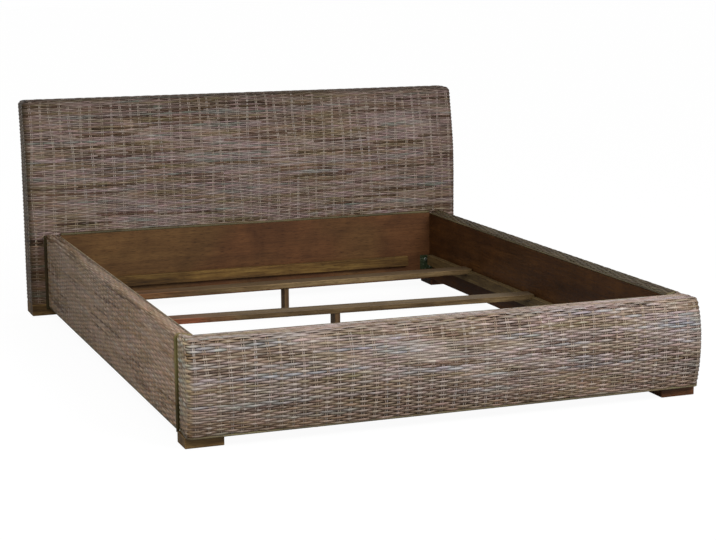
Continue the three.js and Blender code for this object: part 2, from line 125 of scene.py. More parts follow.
# %% Node helpers
def paint(red, green, blue):
    values = [value / 255 for value in (red, green, blue)]
    linear = [value / 12.92 if value <= 0.04045 else ((value + 0.055) / 1.055) ** 2.4
              for value in values]
    return (*linear, 1.0)


def grey(value):
    return (value, value, value, 1)


def plug(tree, node, inputs):
    for name, value in inputs.items():
        if isinstance(value, bpy.types.NodeSocket):
            tree.links.new(value, node.inputs[name])
        else:
            node.inputs[name].default_value = value


def add_node(tree, kind, inputs=None, **settings):
    made = tree.nodes.new("ShaderNode" + kind)
    for name, value in settings.items():
        setattr(made, name, value)
    plug(tree, made, inputs or {})
    return made


def new_finish(name):
    finish = bpy.data.materials.new(name)
    finish.use_nodes = True
    tree = finish.node_tree
    return finish, tree, tree.nodes["Principled BSDF"]


def math_node(tree, operation, first, second=0.0, third=0.0):
    inputs = {0: first, 1: second, 2: third}
    return add_node(tree, "Math", inputs, operation=operation).outputs[0]


def scaled(tree, value, factor, plus=0.0):
    return math_node(tree, "MULTIPLY_ADD", value, factor, plus)


def blend(tree, share, first, second, kind="MIX"):
    inputs = {0: share, 6: first, 7: second}
    return add_node(tree, "Mix", inputs, data_type="RGBA", blend_type=kind).outputs[2]


def multiply(tree, colour, other):
    return blend(tree, 1.0, colour, other, "MULTIPLY")


def ramp(tree, value, stops):
    made = add_node(tree, "ValToRGB", {"Fac": value})
    elements = made.color_ramp.elements
    while len(elements) < len(stops):
        elements.new(0.5)
    for element, (position, colour) in zip(elements, stops):
        element.position = position
        element.color = colour
    return made.outputs["Color"]


print("a mid grey is written as", [round(value, 3) for value in paint(128, 128, 128)[:3]])

# %% [markdown]
# Every finish needs the same few readings: a noise, a point on a plane for it, a range stretched to
# zero and one, the place on the piece itself, and a bump. Object coordinates stay with the piece
# from whatever side it is looked at.

# %% Readings for the finishes
def noise(tree, vector, scale, detail, distortion=0.0):
    inputs = {"Vector": vector, "Scale": scale, "Detail": detail, "Distortion": distortion}
    return add_node(tree, "TexNoise", inputs).outputs["Fac"]


def plane_point(tree, first, second):
    return add_node(tree, "CombineXYZ", {0: first, 1: second}).outputs[0]


def remap(tree, value, low, high, most=1.0):
    inputs = {"Value": value, "From Min": low, "From Max": high, "To Max": most}
    return add_node(tree, "MapRange", inputs).outputs[0]


def object_place(tree):
    return add_node(tree, "TexCoord").outputs["Object"]


def part_of(tree, vector, axis):
    return add_node(tree, "SeparateXYZ", {0: vector}).outputs[axis]


def part_of_colour(tree, colour, channel):
    return add_node(tree, "SeparateColor", {0: colour}).outputs[channel]


def set_roughness(tree, shader, value, low, high):
    stops = [(position, grey(rough)) for position, rough in (low, high)]
    plug(tree, shader, {"Roughness": ramp(tree, value, stops)})


def set_bump(tree, shader, height, metres, strength):
    bump = add_node(tree, "Bump", {"Height": height, "Distance": metres, "Strength": strength})
    plug(tree, shader, {"Normal": bump.outputs["Normal"]})


# %% [markdown]
# Rattan peel is a natural strand. Object coordinates can't follow a strand that dives and turns, so
# every strand carries an attribute made with its mesh: metres along it, its number in the weave,
# and where on its round section a point lies. From these come two random facts. A piece is the
# length between two splices, and a dash is the short stretch that shows between two stakes.

# %% Reading a strand
PIECES_PER_METRE = 4.2
DASH_LENGTH = 0.041


def random_at(tree, first, second):
    point = plane_point(tree, first, second)
    return add_node(tree, "TexWhiteNoise", {"Vector": point}, noise_dimensions="2D").outputs


def read_strand(tree):
    strand = add_node(tree, "Attribute", attribute_name="strand").outputs["Vector"]
    along, number, around = add_node(tree, "SeparateXYZ", {0: strand}).outputs
    own = add_node(tree, "TexWhiteNoise", {"W": number}, noise_dimensions="1D")
    start = scaled(tree, own.outputs["Value"], 40.0)
    length = scaled(tree, along, PIECES_PER_METRE, start)
    piece = random_at(tree, math_node(tree, "FLOOR", length), number)["Value"]
    column = math_node(tree, "FLOOR", math_node(tree, "DIVIDE", along, DASH_LENGTH))
    return along, number, around, piece, column, random_at(tree, column, number)


def mottle(tree, walked, number, rate, row_rate, detail, shift=0.0):
    ahead = scaled(tree, walked, rate, shift)
    across = scaled(tree, number, row_rate)
    return noise(tree, plane_point(tree, ahead, across), 1.0, detail)


print("a piece of peel is", round(1000 / PIECES_PER_METRE), "mm long")

# %% [markdown]
# The colour of a strand is built up in layers. A slow noise and the piece choose a colour from the
# palette, from olive brown to bluish grey. A few pieces are browned much darker. Each dash is then made
# lighter or darker, and a little redder or greener, by chance. A slow noise down each column of dashes
# also lights or darkens whole columns, which is painted light: columns that seem to stand proud and
# catch the light. Without that the weave looks like printed cloth from a distance.

# %% Colour of a strand
def strand_colour(tree, strand, colours, browned_share):
    along, number, _, piece, column, dash = strand
    choice = scaled(tree, piece, 0.12, mottle(tree, along, number, 2.6, 0.30, 2.5))
    colour = ramp(tree, math_node(tree, "SUBTRACT", choice, 0.06), colours)

    shade = mottle(tree, along, number, 6.0, 0.9, 2.0, 31.0)
    colour = multiply(tree, colour, ramp(tree, shade, [
        (0.32, (0.62, 0.56, 0.50, 1)), (0.42, (0.90, 0.88, 0.86, 1)), (0.65, (1.14, 1.14, 1.15, 1))]))
    colour = multiply(tree, colour, ramp(tree, piece, [
        (0.0, (0.34, 0.26, 0.21, 1)), (browned_share, (0.64, 0.54, 0.46, 1)),
        (browned_share + 0.02, grey(1))]))

    # Painted light: a slow noise down each column of dashes lights or darkens whole columns; the white
    # noise per dash is the strand's own tone.
    light = scaled(tree, dash["Value"], 0.5)
    light = scaled(tree, mottle(tree, column, number, 7.3, 0.12, 1.0), 1.4, light)
    colour = multiply(tree, colour, ramp(tree, math_node(tree, "SUBTRACT", light, 0.45), [
        (0.0, (0.78, 0.77, 0.76, 1)), (1.0, grey(1.22))]))
    green = part_of_colour(tree, dash["Color"], "Green")
    drift = scaled(tree, mottle(tree, along, number, 3.4, 0.45, 3.0, 57.0), 0.58)
    hue = scaled(tree, green, 0.42, drift)
    return multiply(tree, colour, ramp(tree, hue, [
        (0.22, (0.93, 1.03, 0.94, 1)), (0.78, (1.08, 0.97, 1.00, 1))]))


# %% [markdown]
# Tints and painted light change the colour after that. A tint is an axis, where it starts, where it is
# full, and a colour to multiply with. The "dive" attribute says how deep a strand has dived: the weave
# is painted darker and browner the deeper it lies, which is painted shade in the recesses, and a little
# lighter on the crests, which is a painted highlight. On the crests a thin pale line along the strand
# is a painted glint.

# %% Tints and painted light on a strand
# Painted glint: a thin pale line along each strand's crest.
PAINTED_GLINT_LINE = 0.15
painted_glint_colour = paint(212, 204, 194)
# Painted shade: darker and browner the deeper a strand dives; painted highlight: a little lighter on
# the crests.
painted_depth_shade_and_highlight = [(0.0, grey(1.10)), (0.45, (0.86, 0.85, 0.84, 1)), (1.0, (0.62, 0.56, 0.50, 1))]


def tint_and_paint_light(tree, strand, colour, axis_tints_and_painted_light, painted_glint):
    _, _, around, _, _, dash = strand
    # Each entry multiplies the colour along an axis: a few are tints, most are painted light or shade.
    for axis, low, high, tan in axis_tints_and_painted_light:
        share = remap(tree, part_of(tree, object_place(tree), axis), low, high)
        colour = blend(tree, share, colour, multiply(tree, colour, tan))
    depth = add_node(tree, "Attribute", attribute_name="dive").outputs["Fac"]
    colour = multiply(tree, colour, ramp(tree, depth, painted_depth_shade_and_highlight))
    # Painted glint on the crests, by chance from dash to dash.
    crest = remap(tree, depth, 0.14, 0.0)
    from_line = math_node(tree, "ABSOLUTE", math_node(tree, "SUBTRACT", around, PAINTED_GLINT_LINE))
    line = remap(tree, from_line, 0.65, 0.10)
    chance = remap(tree, part_of_colour(tree, dash["Color"], "Blue"), 0.40, 1.0, painted_glint)
    return blend(tree, scaled(tree, scaled(tree, crest, line), chance), colour, painted_glint_colour)


# %% [markdown]
# The finish joins these layers with a fine noise that is drawn out along the strand for its
# fibres. The same fibres set roughness and bump, so colour, gloss and relief agree.

# %% Rattan finish
def rattan_finish(name, colours, browned_share=0.10, tint=None, tint_share=0.0, axis_tints_and_painted_light=(),
                  painted_glint=0.0, gloss=1.0):
    finish, tree, shader = new_finish(name)
    strand = read_strand(tree)
    along, number, around, piece = strand[:4]
    colour = strand_colour(tree, strand, colours, browned_share)
    beside = scaled(tree, around, 3.5, scaled(tree, number, 11.0))
    fibre = noise(tree, plane_point(tree, scaled(tree, along, 45.0), beside), 2.0, 4.0)
    colour = multiply(tree, colour, ramp(tree, fibre, [
        (0.30, (0.72, 0.70, 0.68, 1)), (0.70, (1.22, 1.21, 1.20, 1))]))
    if tint:
        paler = ramp(tree, piece, [(0.2, grey(0.25)), (0.9, grey(1))])
        colour = blend(tree, scaled(tree, paler, tint_share), colour, tint)
    colour = tint_and_paint_light(tree, strand, colour, axis_tints_and_painted_light, painted_glint)
    plug(tree, shader, {"Base Color": colour, "Specular IOR Level": 0.5 * gloss,
                        "Coat Weight": 0.12 * gloss, "Coat Roughness": 0.24})
    set_roughness(tree, shader, fibre, (0.2, 0.38), (0.8, 0.64))
    set_bump(tree, shader, fibre, 0.0005, 0.6)
    return finish


# %% [markdown]
# Each unit was woven from another batch, so each has a palette of its own: the footboard is the palest,
# the headboard greyer, the rails browner. The headboard's palette is also kept darker than the
# footboard's, which is painted shade. Canes go from nearly black to pale straw; the nearly black and
# the darker olive canes carry painted shade, and the palest one painted light. The positions lie close
# together, because a noise rarely leaves the middle of its range.

# %% Palettes
def palette(*stops):
    return [(position, paint(*colour)) for position, colour in stops]


weave_colours = palette(
    (0.32, (120, 105, 82)), (0.41, (135, 119, 103)), (0.49, (141, 127, 119)),
    (0.56, (143, 129, 126)), (0.63, (141, 138, 137)), (0.70, (136, 134, 142)))
head_colours = palette(
    (0.32, (110, 96, 74)), (0.41, (122, 105, 89)), (0.49, (130, 114, 106)),
    (0.58, (132, 115, 114)), (0.68, (115, 116, 111)))
rail_colours = palette(
    (0.32, (115, 93, 62)), (0.42, (129, 107, 80)), (0.50, (138, 117, 94)),
    (0.58, (140, 119, 101)), (0.68, (133, 120, 105)))
cane_colours = palette((0.1, (58, 50, 32)), (0.5, (90, 80, 54)), (0.9, (118, 108, 80)))
olive_colours = palette((0.1, (50, 44, 26)), (0.5, (78, 70, 44)), (0.9, (108, 100, 70)))
joint_colours = palette((0.1, (84, 76, 44)), (0.5, (118, 108, 68)), (0.9, (148, 138, 96)))
dark_colours = palette((0.1, (40, 33, 15)), (0.5, (58, 49, 25)), (0.9, (78, 68, 40)))
pale_colours = palette((0.1, (120, 104, 78)), (0.5, (146, 130, 104)), (0.9, (168, 154, 128)))
stake_pale = paint(170, 158, 142)
stake_dull = paint(144, 132, 118)
print("the footboard's palette has", len(weave_colours), "colours")

# %% [markdown]
# Each list says where a unit is darker, browner or lighter along one axis. Most of it is painted light:
# painted shade low on the footboard under its swell, low on the headboard's front and low on the left
# rail, on the right-hand rims of the footboard and headboard, over the headboard's top, on the
# headboard's strip beside the left rail, in a line along the left rail's inner edge and on the right
# rail's top, and painted light on the footboard's left end and on the left rail towards the foot. The
# rest only changes the tone: the footboard is bluer right of the middle and a little lighter on top,
# the headboard darker towards its right end, the left rail bluer on top, the stakes lighter towards the
# top and the joint cane darker towards the bottom.

# %% Tints and painted light of the four units
# Painted shade: the right-hand rims of the footboard and headboard, and the right rail's top.
painted_rim_shade = (0.60, 0.55, 0.47, 1)
shaded = (0.32, 0.35, 0.32, 1)
# Footboard: painted shade low down under the swell, painted light on the left end; a little lighter on
# top and bluer right of the middle.
foot_tints_and_painted_light = [
    ("Z", 0.18, 0.05, (0.66, 0.56, 0.44, 1)), ("Z", 0.27, 0.32, (1.05, 1.03, 1.00, 1)),
    ("X", 0.800, 0.868, painted_rim_shade), ("X", -0.848, -0.866, (1.46, 1.46, 1.10, 1)),
    ("X", 0.10, 0.45, (1.06, 1.06, 1.12, 1))]
# Headboard: painted shade over the top and along its top edge, on the right rim, on the strip beside
# the left rail and low down; darker towards the right end.
head_tints_and_painted_shade = [
    ("Z", 0.72, 0.862, (0.66, 0.64, 0.60, 1)), ("Z", 0.848, 0.860, (0.46, 0.43, 0.38, 1)),
    ("X", 0.908, 0.929, painted_rim_shade), ("X", 0.70, 0.90, (0.84, 0.82, 0.82, 1)),
    ("X", -0.900, -0.928, (0.42, 0.41, 0.30, 1)), ("Z", 0.36, 0.22, (0.80, 0.70, 0.54, 1))]
# Left rail: a painted shade line along the inner edge, painted light towards the foot, painted shade
# low down; bluer on top.
left_tints_and_painted_light = [
    ("X", -0.824, -0.815, (0.30, 0.28, 0.22, 1)), ("Y", 0.6, -0.7, (1.50, 1.47, 1.54, 1)),
    ("Z", 0.13, 0.04, (0.78, 0.74, 0.66, 1)), ("Z", 0.305, 0.325, (0.86, 0.88, 0.94, 1))]
# Right rail: painted shade on its top.
right_painted_shade = [("Z", 0.296, 0.316, shaded)]
# Stakes lighter towards the top; the joint cane darker towards the bottom.
stake_top_tint = [("Z", 0.25, 0.30, (1.20, 1.15, 1.06, 1))]
joint_low_tint = [("Z", 0.24, 0.10, (0.30, 0.27, 0.22, 1))]
print("tans:", len(foot_tints_and_painted_light + head_tints_and_painted_shade + left_tints_and_painted_light + right_painted_shade), "on the woven units")

# %% The rattan finishes
rattan = rattan_finish("rattan_footboard", weave_colours, axis_tints_and_painted_light=foot_tints_and_painted_light, painted_glint=0.45, gloss=0.8)
head_rattan = rattan_finish("rattan_headboard", head_colours, 0.15, axis_tints_and_painted_light=head_tints_and_painted_shade, painted_glint=0.20,
                            gloss=0.35)
# The left rail's finish carries painted light and shade; the right rail's finish and its stakes carry
# painted shade on top.
left_rattan = rattan_finish("rattan_left_rail", rail_colours, 0.08, axis_tints_and_painted_light=left_tints_and_painted_light, painted_glint=0.35,
                            gloss=0.4)
right_rattan = rattan_finish("rattan_right_rail", rail_colours, 0.14, axis_tints_and_painted_light=right_painted_shade, gloss=0.3)
pale_stakes = rattan_finish("rattan_pale_stakes", weave_colours, 0.0, stake_pale, 0.58)
shaded_stakes = rattan_finish("rattan_shaded_stakes", weave_colours, 0.0, stake_pale, 0.58,
                              axis_tints_and_painted_light=right_painted_shade, gloss=0.3)
dull_stakes = rattan_finish("rattan_dull_stakes", weave_colours, 0.0, stake_dull, 0.50,
                            axis_tints_and_painted_light=stake_top_tint)
cane = rattan_finish("round_cane", cane_colours, 0.0, gloss=0.6)
# The nearly black cane and the darker olive cane are painted shade, for crevices and edges in shade;
# the pale cane is painted light, for the left rail's lit top edge.
dark_cane_painted_shade = rattan_finish("dark_cane_painted_shade", dark_colours, 0.0, gloss=0.3)
olive_cane_painted_shade = rattan_finish("olive_cane_painted_shade", olive_colours, 0.0, gloss=0.5)
joint_cane = rattan_finish("joint_cane", joint_colours, 0.0, gloss=0.5, axis_tints_and_painted_light=joint_low_tint)
pale_cane_painted_light = rattan_finish("pale_cane_painted_light", pale_colours, 0.0)
print("finishes so far:", [item.name for item in bpy.data.materials])

# %% [markdown]
# Behind the strands stands the board that they are stretched over. Only slivers of it show, nearly
# black brown, so a soft blotchy stain is enough.

# %% Stain behind the weave
backing_finish, tree, shader = new_finish("stained_backing")
blotch = noise(tree, object_place(tree), 30.0, 4.0)
stain = ramp(tree, blotch, [(0.3, paint(56, 42, 32)), (0.7, paint(84, 66, 52))])
plug(tree, shader, {"Base Color": stain, "Roughness": 0.85})
print("behind the weave:", backing_finish.name)

# %% [markdown]
# The weave is thousands of strands, so a strand is made once: an open tube drawn out of a small
# ring of corners, cut into short steps. Copies of it lie side by side at first. Reading a copy's
# place tells its number, and the point's height tells how far along the strand it is, and with
# those two facts every point can be moved onto the bed.

# %% A bundle of straight strands
BUNDLE_APART = 3.0


def strand_bundle(count, steps, sides=6):
    made = bmesh.new()
    bmesh.ops.create_cone(made, cap_ends=True, segments=sides, radius1=1, radius2=1, depth=1)
    lengthwise = [edge for edge in made.edges
                  if abs(edge.verts[0].co.z - edge.verts[1].co.z) > 0.5]
    if steps > 1:
        bmesh.ops.subdivide_edges(made, edges=lengthwise, cuts=steps - 1)
    single = made.verts[:] + made.edges[:] + made.faces[:]
    for copy_number in range(1, count):
        copied = bmesh.ops.duplicate(made, geom=single)["geom"]
        points = [item for item in copied if isinstance(item, bmesh.types.BMVert)]
        bmesh.ops.translate(made, verts=points, vec=(BUNDLE_APART * copy_number, 0, 0))
    mesh = new_mesh("strands", made)
    points = points_of(mesh)
    number = np.rint(points[:, 0] / BUNDLE_APART)
    wide = points[:, 0] - BUNDLE_APART * number
    return mesh, number.astype(int), points[:, 2] + 0.5, wide, points[:, 1]


test_mesh, _, test_share, _, _ = strand_bundle(3, 5)
print("three strands of five steps:", len(test_mesh.vertices), "points")
print("shares of the length:", sorted(set(np.round(test_share, 2).tolist())))
bpy.data.meshes.remove(test_mesh)

# %% [markdown]
# A woven face is described by a surface: a function that gives the point for "so many stakes along,
# so many metres up". Two small steps on the surface give its directions, and their cross product
# gives the way out. So the same few lines lay strands on flat, swelling and rounded faces alike.

# %% Placing points on a surface
def directions(surface, along, height):
    here = surface(along, height)
    across = surface(along + 0.01, height) - surface(along - 0.01, height)
    upward = surface(along, height + 0.0004) - surface(along, height - 0.0004)
    upward /= np.linalg.norm(upward, axis=1, keepdims=True)
    outward = np.cross(across, upward)
    outward /= np.linalg.norm(outward, axis=1, keepdims=True)
    return here, outward, upward, np.cross(upward, outward)


def finish_piece(name, mesh, points, finish, replaces, strand=None, dive=None):
    mesh.vertices.foreach_set("co", points.astype(np.float32).ravel())
    if strand is not None:
        layer = mesh.attributes.new("strand", "FLOAT_VECTOR", "POINT")
        layer.data.foreach_set("vector", strand.astype(np.float32).ravel())
        layer = mesh.attributes.new("dive", "FLOAT", "POINT")
        layer.data.foreach_set("value", dive.astype(np.float32))
    mesh.polygons.foreach_set("use_smooth", [len(face.vertices) == 4 for face in mesh.polygons])
    mesh.name = name
    mesh.update()
    piece = new_piece(name, mesh, finish, replaces)
    triangles = sum(len(face.vertices) - 2 for face in mesh.polygons)
    print(f"{name}: {triangles} triangles")
    return piece


# %% [markdown]
# Stakes stand in pairs about 40 mm apart, and each row passes in front of one pair and behind the
# next. The row above does the opposite. A cosine that changes sign at each pair gives that dive.
# Real rows aren't ruled lines, so slow sines let neighbouring rows wander together by a
# millimetre, and a slack that drifts along keeps them from diving equally deep. Above the height
# called calm, where a rail's edge turns, the dive is smaller.

# %% Weaving the rows
STRAND_HEIGHT = 0.0080
STRAND_THICKNESS = 0.0032
FULL_DIVE = 0.0020
DIVE = 0.0019
OUTERMOST = 0.0006
STAKE = 0.0034
STAKE_APART = 0.0058
STEPS_PER_STAKE = 4
CALM_SHARE = 0.65
BACKING_DEPTH = 0.0086
# Stakes are painted with the light and shade of a strand that has dived this deep.
STAKE_PAINTED_DEPTH = 0.2
NEXT_WEAVE = 500
weave_number = 0


def wander(along, row, seed):
    slow = 0.0013 * np.sin(0.19 * along + 0.15 * row + seed)
    middle = 0.0009 * np.sin(0.47 * along - 0.23 * row + 2.3 * seed)
    return slow + middle + 0.0006 * np.sin(1.7 * along + 1.3 * row + 4.1 * seed)


def sway(along, height):
    return 0.10 * np.sin(0.83 * along + 9.0 * height) + 0.07 * np.sin(2.7 * along - 17.0 * height)


def middle_depth(dive):
    return OUTERMOST - STRAND_THICKNESS / 2 - dive


def weave_rows(name, surface, heights, start, end, pitch, replaces, first_row=0, seed=1.0,
               dive=DIVE, finish=None, calm=9.0):
    global weave_number
    stakes = np.broadcast_to(np.asarray(end) - np.asarray(start), len(heights))
    steps = int(round(float(np.max(stakes)) * STEPS_PER_STAKE))
    mesh, number, share, wide, thick = strand_bundle(len(heights), steps)
    starts = np.broadcast_to(np.asarray(start, float), len(heights))
    along = starts[number] + stakes[number] * share
    row = number + first_row
    up_here = np.asarray(heights)[number] + wander(along, row, seed)
    wave = np.cos(np.pi * (along - sway(along, up_here) - 0.5) + np.pi * row)
    wave = 1.5 * wave - 0.5 * wave ** 3
    slack = 0.82 + 0.22 * np.cos(0.11 * row + 0.21 * along + seed)
    slack = slack - 0.10 * np.cos(0.9 * row + 0.5 * along)
    slack *= np.clip(1 - (1 - CALM_SHARE) * (up_here - calm) / 0.02, CALM_SHARE, 1)
    here, outward, upward, _ = directions(surface, along, up_here)
    variety = 1 + 0.11 * np.sin(12.9 * row + 0.9 * along) + 0.07 * wave
    out = middle_depth(dive) + dive * (1 - slack + slack * wave)
    points = here + outward * (out + STRAND_THICKNESS / 2 * thick)[:, None]
    points += upward * (STRAND_HEIGHT / 2 * wide * variety)[:, None]
    strand = np.stack([along * pitch, row + weave_number, wide], axis=1)
    weave_number += NEXT_WEAVE
    # How deep the strand lies; the finish paints shade and highlight from it.
    hidden = (1 - wave) / 2 * slack * dive / FULL_DIVE
    finish_piece(name, mesh, points, finish or rattan, replaces, strand, hidden)


def set_stakes(name, surface, places, bottom, top, steps, replaces, pitch, dive=DIVE, finish=None):
    global weave_number
    beside = STAKE_APART / 2 / pitch
    offsets = [place + side * beside for place in places for side in (-1, 1)]
    mesh, number, share, wide, thick = strand_bundle(len(offsets), steps)
    height = bottom + (top - bottom) * share
    along = np.asarray(offsets)[number]
    here, outward, _, across = directions(surface, along + sway(along, height), height)
    points = here + outward * (middle_depth(dive) + STAKE / 2 * thick)[:, None]
    points += across * (STAKE / 2 * wide)[:, None]
    strand = np.stack([height, number + weave_number, wide], axis=1)
    hidden = np.full(len(height), STAKE_PAINTED_DEPTH)
    weave_number += NEXT_WEAVE
    finish_piece(name, mesh, points, finish or dull_stakes, replaces, strand, hidden)


def back_up(name, surface, start, end, bottom, top, columns, levels, replaces):
    made = bmesh.new()
    bmesh.ops.create_grid(made, x_segments=columns, y_segments=levels, size=0.5)
    mesh = new_mesh(name, made)
    points = points_of(mesh)
    along = start + (end - start) * (points[:, 0] + 0.5)
    height = bottom + (top - bottom) * (points[:, 1] + 0.5)
    here, outward, _, _ = directions(surface, along, height)
    points = here - outward * BACKING_DEPTH
    piece = finish_piece(name, mesh, points, backing_finish, replaces)
    solid = piece.modifiers.new("thickness", "SOLIDIFY")
    solid.thickness = 0.0006
    solid.offset = 1


print("the weave is", round((STRAND_THICKNESS + 2 * DIVE) * 1000, 1), "mm deep")

# %% [markdown]
# Both end units are boxes with rounded upright corners, so one function walks round such a box. It
# counts in stakes: along the front, then the right side, the back and the left side. Another one
# climbs a wall and goes over its rounded edge: it gives the height and the way inwards.

# %% Walking round a box
def box_point(along, counts, half_width, front, rear, radius):
    counts = np.asarray(counts, float)
    marks = np.concatenate([[0], np.cumsum(counts)])
    along = np.mod(along, marks[-1])
    face = np.clip(np.searchsorted(marks, along, side="right") - 1, 0, 3)
    share = (along - marks[face]) / counts[face]
    half_depth = (rear - front) / 2
    sideways = face % 2 == 1
    half = np.where(sideways, half_depth, half_width)
    straight = 2 * (half - radius)
    curve = np.pi * radius / 4
    distance = share * (straight + 2 * curve) - curve
    turn = np.clip(distance / radius, -np.pi / 4, 0)
    turn = turn + np.clip((distance - straight) / radius, 0, np.pi / 4)
    ahead = np.clip(distance, 0, straight) - straight / 2 + radius * np.sin(turn)
    out = np.where(sideways, half_width, half_depth) + radius * (np.cos(turn) - 1)
    x = np.array([1, 0, -1, 0])[face] * ahead + np.array([0, 1, 0, -1])[face] * out
    y = np.array([0, 1, 0, -1])[face] * ahead + np.array([-1, 0, 1, 0])[face] * out
    return x, y + (front + rear) / 2


def over_the_edge(height, shoulder, radius):
    angle = np.clip((height - shoulder) / radius, 0, np.pi / 2)
    beyond = np.maximum(0, height - shoulder - radius * np.pi / 2)
    return np.minimum(height, shoulder) + radius * np.sin(angle), radius * (1 - np.cos(angle)) + beyond


# %% [markdown]
# The headboard stands upright to the height of the pillows and leans back above that. Its rows run
# right round it. Below the top of the smooth inner panel they stop on either side of it, and above
# they close on themselves, climb over the rounded top edge and meet in the middle of the top.

# %% Headboard surface
HEAD_HALF = 0.929
HEAD_FRONT = 1.014 + y_shift
HEAD_BACK = HEAD_FRONT + 0.134
HEAD_BOTTOM = 0.046
HEAD_TOP = 0.862
PANEL_TOP = 0.324
LEAN = math.radians(11.3)
HEAD_COUNTS = (45, 3, 45, 3)
HEAD_PITCH = 0.0411
HEAD_DIVE = 0.0011


def leaned(height, bend_height, bend_radius):
    rise = np.maximum(0, height - bend_height)
    bend_rise = bend_radius * math.sin(LEAN)
    bent = bend_radius - np.sqrt(bend_radius ** 2 - np.minimum(rise, bend_rise) ** 2)
    return bent + np.maximum(0, rise - bend_rise) * math.tan(LEAN)


def headboard_surface(along, height):
    z, inset = over_the_edge(height, HEAD_TOP - 0.022, 0.022)
    front = HEAD_FRONT + leaned(z, 0.500, 0.919) + inset
    rear = HEAD_BACK + leaned(z, 0.600, 1.500) - inset
    radius = np.maximum(0.001, 0.015 - inset)
    x, y = box_point(along, HEAD_COUNTS, HEAD_HALF - inset, front, rear, radius)
    return np.stack([x, y, z + 0 * x], axis=1)


print("the headboard leans back", round(math.degrees(LEAN), 1), "degrees")

# %% Headboard rows
ROW = (PANEL_TOP - HEAD_BOTTOM) / 38
STAKE_TOP = 0.900
BACKING_TOP = 0.896
front_count = HEAD_COUNTS[0]
around = sum(HEAD_COUNTS)
panel_edge = front_count / 2 * (1 + INNER_HALF_WIDTH / HEAD_HALF)
far_edge = around + front_count - panel_edge
back_middle = front_count + HEAD_COUNTS[1] + HEAD_COUNTS[2] / 2
low_rows = HEAD_BOTTOM + ROW * (np.arange(38) + 0.5)
high_rows = PANEL_TOP + ROW * (np.arange(79) + 0.5)
head = ["headboard_weave"]
for part, rows, start, end, first_row in (
        ("low", low_rows, panel_edge, far_edge, 0),
        ("middle", high_rows[:40], back_middle, back_middle + around, 38),
        ("top", high_rows[40:], back_middle, back_middle + around, 78)):
    weave_rows(f"headboard_rows_{part}", headboard_surface, rows, start, end, HEAD_PITCH,
               head, first_row, 1.0, HEAD_DIVE, head_rattan)

# %% [markdown]
# The stakes are pairs of thin upright canes, paler than the rows. In front of the mattress space
# they start above the panel, and so does the backing.

# %% Headboard stakes and backing
stake_places = np.arange(around) + 0.5
outside_panel = [place for place in stake_places
                 if place > panel_edge or place < front_count - panel_edge]
in_panel = [place for place in stake_places if place not in outside_panel]
for name, places, bottom, steps in (("headboard_stakes", outside_panel, HEAD_BOTTOM, 44),
                                    ("headboard_front_stakes", in_panel, PANEL_TOP, 36)):
    set_stakes(name, headboard_surface, places, bottom, STAKE_TOP, steps, head, HEAD_PITCH,
               HEAD_DIVE, pale_stakes)
back_up("headboard_backing_low", headboard_surface, panel_edge, far_edge, HEAD_BOTTOM, PANEL_TOP,
        240, 4, head)
back_up("headboard_backing_high", headboard_surface, 0, around, PANEL_TOP, BACKING_TOP, 384, 40, head)

# %% [markdown]
# The footboard is a deep box whose front swells like a barrel. Seen from above it is the front half
# of a box that mirrors in the plane where the rails bolt on, so the same walk serves, and its ends
# are drawn in a little towards the rails. The rows on the top run straight from end to end.

# %% Footboard surfaces
FOOT_HALF = 0.868
FOOT_FLARE = 0.010
FOOT_BACK = -INNER_HALF_LENGTH + y_shift
FOOT_FRONT = FOOT_BACK - FOOTBOARD_DEPTH
BELLY = 0.190
FRAME_BOTTOM = 0.034
CROWN_TOP = 0.332
CROWN_RISE = 0.009
CROWN_WIDTH = 0.060
CROWN_START = 0.0073
FOOT_COUNTS = (46, 8, 46, 8)
FOOT_PITCH = 0.0375
FOOT_END = 4
FOOT_EDGE = 0.014
FOOT_SHOULDER = CROWN_TOP - FOOT_EDGE


def swell(height):
    rise = height - BELLY
    fall = np.where(rise > 0, 0.036, 0.023)
    full = np.where(rise > 0, CROWN_TOP - BELLY, BELLY - FRAME_BOTTOM)
    radius = (full ** 2 + fall ** 2) / (2 * fall)
    return FOOT_FRONT + radius - np.sqrt(radius ** 2 - rise ** 2)


def drawn_in(y, corner_end):
    return FOOT_FLARE * np.clip((y - corner_end) / (FOOT_BACK - corner_end), 0, 1)


def footboard_surface(along, height):
    z, inset = over_the_edge(height, FOOT_SHOULDER, FOOT_EDGE)
    front = swell(z) + inset
    radius = np.maximum(0.001, 0.022 - inset)
    x, y = box_point(along, FOOT_COUNTS, FOOT_HALF - inset, front, 2 * FOOT_BACK - front, radius)
    at_end = (along < 0) | (along > FOOT_COUNTS[0])
    x = x - np.sign(x) * np.where(at_end, drawn_in(y, front + radius), 0)
    return np.stack([x, y, z + 0 * x], axis=1)


def crown(distance):
    return CROWN_TOP - CROWN_RISE * (1 - np.clip(distance / CROWN_WIDTH, 0, 1)) ** 2


def footboard_top(along, y):
    x = (along - FOOT_COUNTS[0] / 2) * FOOT_PITCH
    inside = np.maximum(np.abs(x) - INNER_HALF_WIDTH, FOOT_BACK - y) - CROWN_START
    return np.stack([x, y + 0 * x, crown(np.maximum(inside, 0))], axis=1)


print("the belly stands out", round(float(swell(CROWN_TOP) - swell(BELLY)) * 1000), "mm past the top")

# %% Footboard rows
WEAVE_BOTTOM = 0.041
foot = ["footboard_weave"]
first, last, centre = -FOOT_END, FOOT_COUNTS[0] + FOOT_END, FOOT_COUNTS[0] / 2
wall_top = FOOT_SHOULDER + FOOT_EDGE * np.pi / 2
wall_rows = np.linspace(WEAVE_BOTTOM, wall_top + 0.001, 41)
wall_rows = (wall_rows[1:] + wall_rows[:-1]) / 2
weave_rows("footboard_rows", footboard_surface, wall_rows, first, last, FOOT_PITCH, foot, 0, 2.0)

